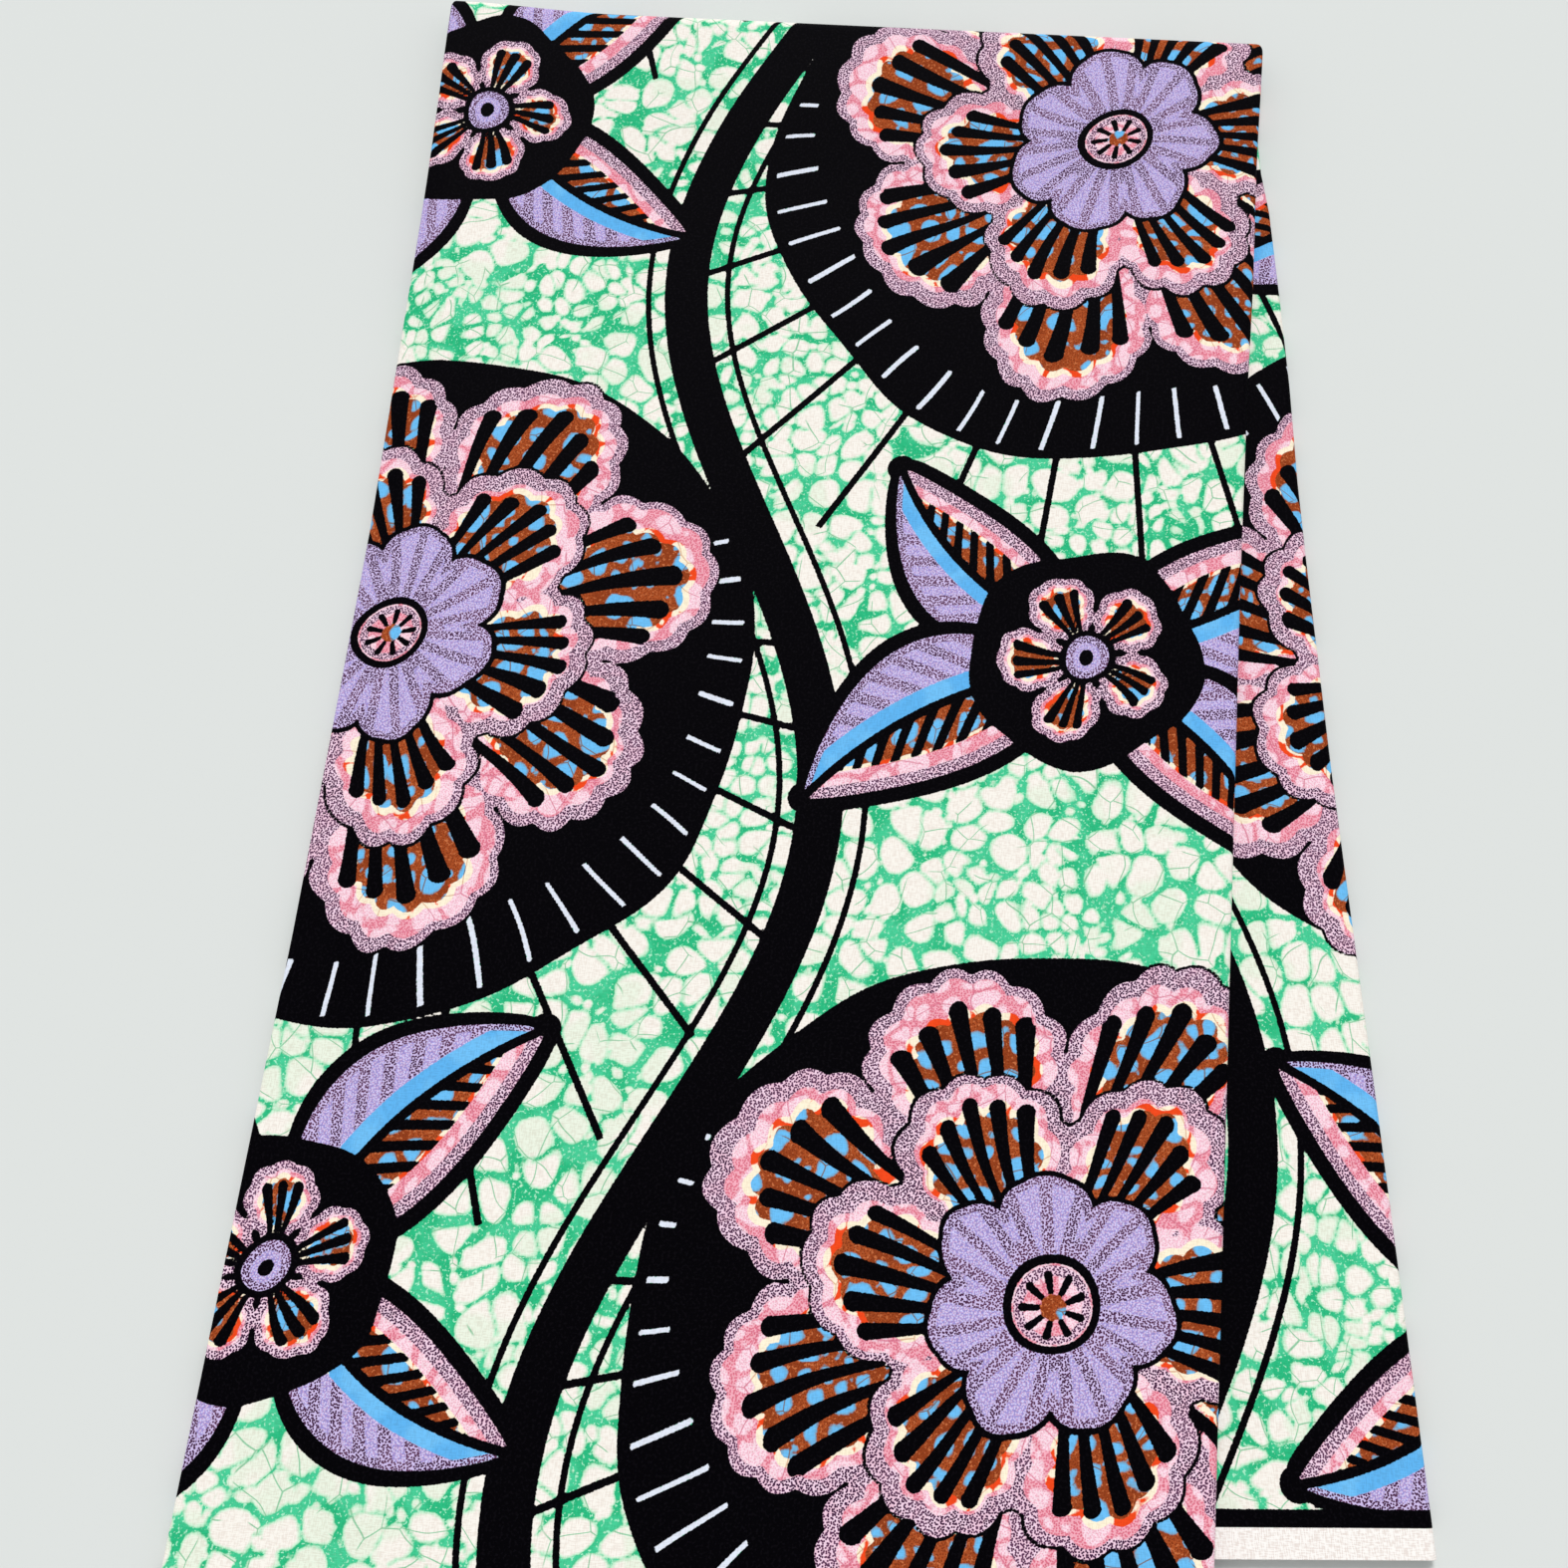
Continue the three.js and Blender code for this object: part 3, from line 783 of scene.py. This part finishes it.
def right_limit(q):
    return outline(q, "right") - right_fold_radius(q)


def find_place():
    """Shift from the strip's coordinates to the row frame, from the front layer's CAD box."""
    rows = upper_rows(6.0, 1.0, turn_end=TURN_LENGTH / 2)
    limits = (left_limit, lambda q: right_limit(q) + drawn_in(q))
    plain = layer_patch(rows, limits, even_columns(40), GROUP_RADIUS, right_fold_radius)
    own = plain.points.reshape(-1, 3)
    low, high = (np.array(corner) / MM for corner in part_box("front_layer"))
    shift = ((low + high) - (own.min(0) + own.max(0))) / 2
    return np.array([shift[0], shift[1], 0.0])


PLACE = find_place()


# ---------- the layers that show

LOWER_SHIFT = (160.0, -118.0)  # the lower half shows another stretch of the print


def front_patches():
    """The upper half's top face with its side folds and the cross fold, in three parts."""
    rows = upper_rows(CELL, 0.9)
    width = UPPER_WIDTHS["left"][0] + UPPER_WIDTHS["right"][0]
    patch = layer_patch(rows, (left_limit, right_limit), even_columns(steps(width, 1.03 * CELL)),
                        GROUP_RADIUS, right_fold_radius, raised=1.0)
    cuts = [len(rows.base) * k // 3 for k in range(4)]
    return [patch.rows(start, stop + 1) for start, stop in zip(cuts[:-1], cuts[1:])]


def wedge_columns(near, low, high):
    """Columns of the lower half's top face: close together where the upper half leaves it bare."""
    covered = 8.0
    from_turn = np.maximum(near - TURN_LENGTH, 0)
    edge = outline(-from_turn, "right") / math.cos(2 * FOLD_SKEW)
    edge = edge - from_turn * math.tan(2 * FOLD_SKEW)
    start = np.clip(edge - covered, low + 10, high - covered / 2)
    hidden = blend(low, start, np.linspace(0, 1, 16)[:-1])
    return np.hstack([hidden, blend(start, high, np.linspace(0, 1, steps(90, CELL)))])


def lower_patch():
    free_end = 2.0
    limits = (lambda q: -outline(q, "left") + free_end, right_limit)
    return layer_patch(lower_rows(CELL), limits, wedge_columns, None, right_fold_radius,
                       from_top=LOWER_STACK, raised=0.4, shift=LOWER_SHIFT, flip=True)


def under_patch():
    """The underside, which rests on the table, with coarser points."""
    spacing = 2.6
    limits = (left_limit, lambda q: right_limit(q) - TUCK - SEAM_GAP)
    width = LOWER_WIDTHS["left"][0] + LOWER_WIDTHS["right"][0]
    return layer_patch(lower_rows(spacing), limits, even_columns(steps(width, spacing)),
                       GROUP_RADIUS)


# ---------- the layers in between

def stack_pitch(q):
    """Thickness that one layer takes up in the stack."""
    return 2 * right_fold_radius(q) / LAYERS


def group_edge(rows, first, last, inset, shift):
    """The outermost fold of a group of layers at the left side, tucked in above and below."""
    turns = np.concatenate([(-1.0, -0.5), np.linspace(0, 1, 8), (1.5, 2.0)])
    near, inward = rows.middle()
    pitch = stack_pitch(near)
    radius = pitch * (last - first + 1) / 2 - 0.02
    middle = pitch * (first + last + 1) / 2
    limit = -outline(near, "left") + inset + radius
    x, sunk = wrap(limit, -1, radius, turns, inward)
    x = x + TUCK * np.clip(-turns, 0, 1)
    return rows.edge(x, middle + sunk - radius, limit - turns * 4 + shift)


def free_edge(rows, layer, inset, shift):
    """The cut end of one layer at the left side."""
    loop = np.array([(6.0, 0.5), (0.05, 0.5), (-0.06, 0.25), (-0.06, -0.25), (0.05, -0.5),
                     (6.0, -0.5)])
    near, inward = rows.middle()
    x = -outline(near, "left") + inset + loop[:, 0]
    depth = stack_pitch(near) * (layer + 0.5) - CLOTH * loop[:, 1] * (1 - inward / CLOTH)
    return rows.edge(x, depth, x + shift)


def left_edge_patches():
    """Folded and cut edges that show at the left side, below the eight-layer fold. Their near
    ends lie a little back from the top cloth's, each by its own amount."""
    def halves(back):
        return [upper_rows(1.8, 1.2, inset=back), lower_rows(1.8, inset=back)]

    patches = []
    for back, (first, last, inset) in zip((1.1, 1.7), LEFT_GROUPS[1:]):
        patches += [group_edge(rows, first, last, inset, 60.0 * first) for rows in halves(back)]
    for layer in FREE_ENDS:
        odd = layer % 2
        shown = halves(0.9 + 0.8 * odd)[:2 if layer < LAYERS - 1 else 1]
        patches += [free_edge(rows, layer, FREE_INSET + 1.1 * odd, 37.0 * layer) for rows in shown]
    return patches


def layer_order():
    """Layers in the order that the one long cloth passes them, from one cut end to the other:
    at the right it turns to the mirrored layer, at the left to its partner in the group."""
    order, at_right = [FREE_ENDS[0]], True
    while True:
        layer = order[-1]
        groups = [g for g in LEFT_GROUPS if g[0] <= layer <= g[1]]
        if not at_right and not groups:
            return order
        order.append(LAYERS - 1 - layer if at_right else groups[0][0] + groups[0][1] - layer)
        at_right = not at_right


def section_path(pitch, left, right, skip):
    """The cloth's path through a cut across the strip: runs of (side offset, depth) points.
    It breaks at the layers in skip and at each group's outermost left fold."""
    order = layer_order()
    bend = right - pitch * LAYERS / 2
    runs, run = [], []
    for place, layer in enumerate(order):
        if layer in skip:
            run = []
            continue
        going_right = place % 2 == 0
        depth = pitch * (layer + 0.5)
        group = next((g for g in LEFT_GROUPS if g[0] <= layer <= g[1]), None)
        outermost = group is None or layer in group[:2]
        outer = layer in (0, LAYERS - 1) or LAYERS - 1 - layer in skip
        low = left + FREE_INSET + 6
        if group:
            low = left + group[2] + pitch * (group[1] - group[0] + 1) / 2 + TUCK * outermost
        high = bend - TUCK * outer
        start, end = (low, high) if going_right else (high, low)
        begins, stops = (outermost, outer) if going_right else (outer, outermost)
        if begins:
            run = []
        if not run:
            runs.append(run)
        run += [(x, depth) for x in np.linspace(start, end, steps(abs(high - low), 6.0))]
        if stops or place + 1 == len(order):
            run = []
            continue
        middle = pitch * LAYERS / 2 if going_right else pitch * (group[0] + group[1] + 1) / 2
        way, radius = (1 if going_right else -1), abs(middle - depth)
        sign = 1 if middle > depth else -1
        for angle in np.linspace(0, math.pi, 9)[1:-1]:
            run.append((end + way * radius * math.sin(angle),
                        middle - sign * radius * math.cos(angle)))
    return [np.array(run) for run in runs if len(run) > 1]


def end_patches(end, way, stack, skip):
    """The near ends of the layers inside one half of the strip, as thin bands."""
    patches, travelled = [], 0.0
    left, right = -outline(end(0.0), "left"), outline(end(0.0), "right")
    backs = np.linspace(END_BAND, 0.08, 7)
    back = np.concatenate([backs, [0.0, 0.0], backs[::-1]])[:, None]
    side = np.repeat([0.5, 0.25, -0.25, -0.5], (7, 1, 1, 7))[:, None]
    for path in section_path(stack / LAYERS, left, right, skip):
        step = np.gradient(path, axis=0)
        step /= np.linalg.norm(step, axis=1, keepdims=True)
        length = travelled + np.append(0, np.cumsum(np.hypot(*np.diff(path, axis=0).T)))
        travelled = length[-1] + 40
        ragged = 1.35 + 0.5 * np.sin(length / 171) + 0.35 * np.sin(length / 63 + 1)
        ragged += 0.12 * np.sin(length / 19 + 2)
        wave = 0.02 * np.sin(length / 23)
        x = path[:, 0] + step[:, 1] * side * CLOTH
        depth = path[:, 1] + wave - step[:, 0] * side * CLOTH
        q = end(x) - way * (ragged + back)
        across = np.broadcast_to(length, q.shape)
        patches.append(Patch(lay(x, q, depth), across, q, back + 0 * q, flip=way < 0))
    return patches


def core_patch():
    """The layers between the ones that show, as one closed form set back from the edges."""
    near_back, left_back, right_back, skin = 14.0, 6.5, 2.6, 0.8
    side = np.linspace(0, 1, 44)
    across = np.concatenate([side, side[::-1], [0.0]])
    sunk = np.repeat([0.0, 1.0, 0.0], (44, 44, 1))
    rows = Rows(front_end)
    rows.add(near_back, 1.0)
    share = np.linspace(0, 1, 60)
    rows.add(near_back * (1 - share) - share * PUFF_RUN, 1 - share)
    rows.add(np.linspace(-PUFF_RUN, TURN_LENGTH, 50)[1:])
    lower = blend(TURN_LENGTH, lower_end(0.0) - near_back, np.linspace(0, 1, 61)[1:, None])
    q = np.concatenate([rows.middle()[0], lower, lower[-1:]])
    x = blend(left_back - outline(q, "left"), outline(q, "right") - right_back, across)
    sunk = sunk + 0 * x
    sunk[[0, -1]] = 0.5  # closes the two ends
    depth = blend(skin, 2 * right_fold_radius(q) - skin, sunk)
    q = q + 0 * x
    return Patch(lay(x, q, depth), x, q, 99 + 0 * x)


# ---------- material

def linear(colour):
    """Linear light values of a colour given as hexadecimal sRGB."""
    parts = [int(colour[i:i + 2], 16) / 255 for i in (1, 3, 5)]
    return [p / 12.92 if p <= 0.04045 else ((p + 0.055) / 1.055) ** 2.4 for p in parts] + [1.0]


class Graph:
    """Short ways to add nodes to a material."""

    def __init__(self, name):
        self.material = bpy.data.materials.new(name)
        self.material.use_nodes = True
        self.tree = self.material.node_tree
        self.shader = self.tree.nodes["Principled BSDF"]

    def set(self, socket, value):
        if isinstance(value, bpy.types.NodeSocket):
            self.tree.links.new(value, socket)
        else:
            socket.default_value = linear(value) if isinstance(value, str) else value

    def node(self, kind, inputs=(), **settings):
        node = self.tree.nodes.new("ShaderNode" + kind)
        for name, value in settings.items():
            setattr(node, name, value)
        for name, value in dict(inputs).items():
            self.set(node.inputs[name], value)
        return node

    def finish(self, **sockets):
        """Sets the shader's sockets, named with _ for a space."""
        for name, value in sockets.items():
            self.set(self.shader.inputs[name.replace("_", " ")], value)
        return self.material

    def math(self, operation, a, b=0.0, c=0.0):
        return self.node("Math", {0: a, 1: b, 2: c}, operation=operation).outputs[0]

    def times(self, a, b):
        return self.math("MULTIPLY", a, b)

    def plus(self, a, b):
        return self.math("ADD", a, b)

    def scaled(self, value, factor, added):
        return self.math("MULTIPLY_ADD", value, factor, added)

    def mix(self, share, a, b, blend_type="MIX"):
        inputs = {0: share, 6: a, 7: b}
        return self.node("Mix", inputs, data_type="RGBA", blend_type=blend_type).outputs[2]

    def above(self, value, edge, softness):
        """0 below edge, 1 above it, eased over twice the softness."""
        inputs = {"Value": value, "From Min": edge - softness, "From Max": edge + softness}
        return self.node("MapRange", inputs, interpolation_type="SMOOTHSTEP").outputs[0]

    def below(self, value, edge, softness):
        return self.math("SUBTRACT", 1.0, self.above(value, edge, softness))

    def stored(self, name):
        return self.node("Attribute", attribute_name=name).outputs["Vector"]

    def parts(self, vector):
        return self.node("SeparateXYZ", {0: vector}).outputs

    def noise(self, vector, length, detail=2.0, roughness=0.5):
        inputs = {"Vector": vector, "Scale": 1.0 / length, "Detail": detail,
                  "Roughness": roughness}
        return self.node("TexNoise", inputs, noise_dimensions="2D").outputs[0]

    def moved(self, vector, move=(0, 0), scale=(1, 1)):
        inputs = {0: vector, 1: (*scale, 1), 2: (*move, 0)}
        return self.node("VectorMath", inputs, operation="MULTIPLY_ADD").outputs[0]

    def cells(self, vector, length, feature):
        inputs = {"Vector": vector, "Scale": 1.0 / length}
        node = self.node("TexVoronoi", inputs, voronoi_dimensions="2D", feature=feature)
        return self.times(node.outputs["Distance"], length)


def printed_cotton(name):
    """Wax-printed cotton: crackled inks laid over each other on a plain weave."""
    g = Graph(name)
    cloth, cracks = g.stored("cloth"), g.stored("cracks")

    # bubbles of wax that every ink shares, in mm into a bubble, with ragged edges
    into, veined, tone = g.parts(g.stored("wax"))
    into = g.plus(into, g.scaled(g.noise(cloth, 1.7, 2.0, 0.6), 0.8, -0.4))
    bubble = g.above(into, 0.0, 0.28)
    rim = g.below(into, 0.55, 0.6)
    vein = g.times(g.below(g.cells(cracks, 13.0, "DISTANCE_TO_EDGE"), 0.2, 0.14), veined)
    speck = g.above(g.noise(g.moved(cloth, (3, 9)), 1.15, 1.0, 0.7), 0.65, 0.05)
    speck = g.times(speck, g.above(into, -2.4, 1.2))
    grain_size = 0.76
    dark_gap = g.cells(cloth, grain_size, "F1")
    light_gap = g.cells(g.moved(cloth, (3, 8)), grain_size, "F1")

    # colour of each ink
    green = g.mix(speck, g.mix(tone, "#2cba80", "#48cb96"), "#a9ebc8")
    cream = g.mix(g.times(g.parts(cracks)[2], 0.35), "#f5f0e8", "#cdeecd")
    cream = g.mix(vein, g.mix(rim, cream, "#b9eac8"), "#8ec9a2")
    ground = g.mix(bubble, green, cream)

    rust = g.mix(tone, "#94411e", "#ab5027")
    rust = g.mix(g.above(light_gap, 0.25, 0.08), "#84381a", rust)
    rust = g.mix(speck, rust, "#c46f43")
    rust_in_wax = g.mix(g.above(into, 1.5, 0.5), "#7c9fb8", "#6cbdf3")
    rust_in_wax = g.mix(vein, rust_in_wax, "#7b6a66")
    rust = g.mix(g.above(into, 1.12, 0.25), rust, rust_in_wax)

    orange = g.mix(g.times(vein, 0.6), "#fbf0d6", "#c9773c")
    orange = g.mix(g.above(into, -0.1, 0.25), "#ef4a1e", orange)

    rosy = g.mix(g.above(light_gap, 0.3, 0.06), "#dc7389", "#f3adbd")
    pink = g.mix(g.above(light_gap, 0.24, 0.06), "#f0b3c6", "#f9dbe7")
    pink = g.mix(g.above(into, 0.65, 0.5), rosy, pink)
    pink = g.mix(g.times(vein, 0.8), pink, "#d3708a")

    lavender = g.mix(g.above(light_gap, 0.29, 0.06), "#d2caf2", "#9c90cf")
    lavender = g.mix(g.above(dark_gap, 0.18, 0.06), "#d0a9cf", lavender)
    sky = g.mix(tone, "#5fb2ee", "#6fbef4")

    # laid over each other, with slightly uneven edges
    fine = g.noise(g.moved(cloth, (2, 77)), 1.0, 1.0)
    jitter = g.scaled(fine, 0.5, -0.25)
    warm, cool, plain = (g.parts(g.stored(inks)) for inks in INK_SETS)
    colour = ground
    for field, ink, edge in ((warm[0], rust, -0.35), (warm[1], orange, -0.3),
                             (warm[2], pink, -0.25), (cool[0], lavender, -0.2),
                             (cool[1], sky, -0.15)):
        colour = g.mix(g.above(g.plus(field, jitter), edge, 0.12), colour, ink)
    shaded = g.above(g.plus(cool[2], jitter), -0.1, 0.25)
    pale = g.mix(g.above(warm[2], -0.25, 0.12), "#d3c2ec", "#f0d3e8")
    colour = g.mix(g.times(shaded, 0.8), colour, pale)
    dots = g.times(g.below(dark_gap, 0.325, 0.05), g.above(cool[2], -0.2, 0.2))
    colour = g.mix(dots, colour, g.mix(tone, "#432042", "#5f3858"))
    black = g.above(g.plus(plain[0], jitter), -0.1, 0.1)
    colour = g.mix(black, colour, g.mix(g.above(fine, 0.62, 0.1), "#020104", "#09070c"))
    colour = g.mix(g.above(g.plus(plain[1], jitter), 0.0, 0.12), colour, "#dfe6f4")
    bare = g.above(plain[2], 0.0, 0.12)
    colour = g.mix(bare, colour, "#f8f4f0")

    # plain weave: uneven threads both ways. The colour darkens where the weave's bump height is
    # low, partly from uneven threads and partly as painted shade between the threads
    thread = 0.4
    across = g.noise(g.moved(cloth, scale=(1 / thread, 1 / 2.6)), 1.0, 0.0)
    along = g.noise(g.moved(cloth, (9, 5), (1 / 2.2, 1 / thread)), 1.0, 0.0)
    weave = g.plus(across, along)
    # painted shade between the threads, with uneven thread tone: darker where the bump is low
    thread_tone_and_shade = g.mix(g.above(weave, 0.94, 0.3), "#e9e1de", "#ffffff")
    bump = g.node("Bump", {"Strength": 0.35, "Distance": 0.00007, "Height": weave})
    # the black is glossiest
    rough = g.scaled(weave, 0.06, g.scaled(black, -0.16, 0.78))
    # the colour is multiplied by the weave's tone and painted shade, 0.6 of it on the print and 0.9
    # on the bare selvedge
    return g.finish(Base_Color=g.mix(g.scaled(bare, 0.3, 0.6), colour, thread_tone_and_shade, "MULTIPLY"),
                    Normal=bump.outputs[0], Roughness=rough, Specular_IOR_Level=0.025)


def pale_floor():
    g = Graph("pale_floor")
    place = g.node("TexCoord").outputs["Object"]
    tone = g.noise(place, 0.9)
    return g.finish(Base_Color=g.mix(tone, "#d8dbd9", "#d9dcda"), Roughness=0.9,
                    Specular_IOR_Level=0.1)


# ---------- assembly

def build_cloth():
    """All pieces of the cloth, by name."""
    near, middle, far = front_patches()
    shown = {
        "front_cloth_near": [near],
        "front_cloth_middle": [middle],
        "front_cloth_far": [far],
        "lower_cloth": [lower_patch()],
        "under_cloth": [under_patch()],
    }
    inside = {
        "left_folds": left_edge_patches(),
        "upper_layer_ends": end_patches(front_end, -1, UPPER_STACK, {0}),
        "lower_layer_ends": end_patches(lower_end, 1, LOWER_STACK, {0, LAYERS - 1}),
        "inner_layers": [core_patch()],
    }
    pieces = {}
    for group, look, slot_name in ((shown, "wax_print_cotton", "printed_cotton"),
                                   (inside, "folded_edge_cotton", "folded_edges")):
        material = printed_cotton(look)
        for name, patches in group.items():
            pieces[name] = make_piece(name, patches, material)
    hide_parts("front_layer")
    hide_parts("lower_layer")
    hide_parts("under_layer")
    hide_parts("hidden_folds")
    return pieces


def add_floor():
    mesh = bpy.data.meshes.new("floor")
    size = 15.0
    corners = [(-size, -size, 0), (size, -size, 0), (size, size, 0), (-size, size, 0)]
    mesh.from_pydata(corners, [], [(0, 1, 2, 3)])
    mesh.materials.append(pale_floor())
    floor = add_object("floor", mesh)
    floor.location.z = -0.0001  # just below the cloth's underside


def add_light():
    world = bpy.data.worlds.new("studio")
    world.use_nodes = True
    sky = world.node_tree.nodes["Background"].inputs
    sky["Color"].default_value = (0.97, 0.99, 1.0, 1.0)
    sky["Strength"].default_value = 0.56
    bpy.context.scene.world = world
    sun = bpy.data.lights.new("key", "SUN")
    sun.energy = 2.15
    sun.angle = math.radians(24)
    sun.color = (1.0, 0.995, 0.985)
    key = add_object("key", sun)
    key.rotation_euler = (math.radians(-38), math.radians(-6), 0)


# The photo's camera, fitted to the cloth's outline. Its place is relative to the cross fold.
CAMERA_FOCAL = 0.9701  # in picture widths
CAMERA_TURN = (("Z", -6.188), ("Y", -0.970), ("X", -16.158))  # roll, yaw and tilt
CAMERA_SHIFT = (34.70, 323.76, -657.04)
FIT_ORIGIN = (0.0, 7.0, 5.0)


def add_camera():
    roll, yaw, tilt = (Matrix.Rotation(math.radians(turn), 3, axis) for axis, turn in CAMERA_TURN)
    to_camera = roll @ yaw @ tilt
    place = -(to_camera.transposed() @ Vector(CAMERA_SHIFT)) + Vector(FIT_ORIGIN) + Vector(PLACE)
    lens = bpy.data.cameras.new("photo_camera")
    lens.sensor_width = 36.0
    lens.lens = CAMERA_FOCAL * lens.sensor_width
    lens.clip_start = 0.01
    camera = add_object("photo_camera", lens)
    camera.matrix_world = Matrix.Translation(place * MM) @ to_camera.transposed().to_4x4()
    bpy.context.scene.camera = camera


bpy.context.scene.view_settings.view_transform = "Standard"
cloth_pieces = build_cloth()
add_floor()
add_light()
add_camera()
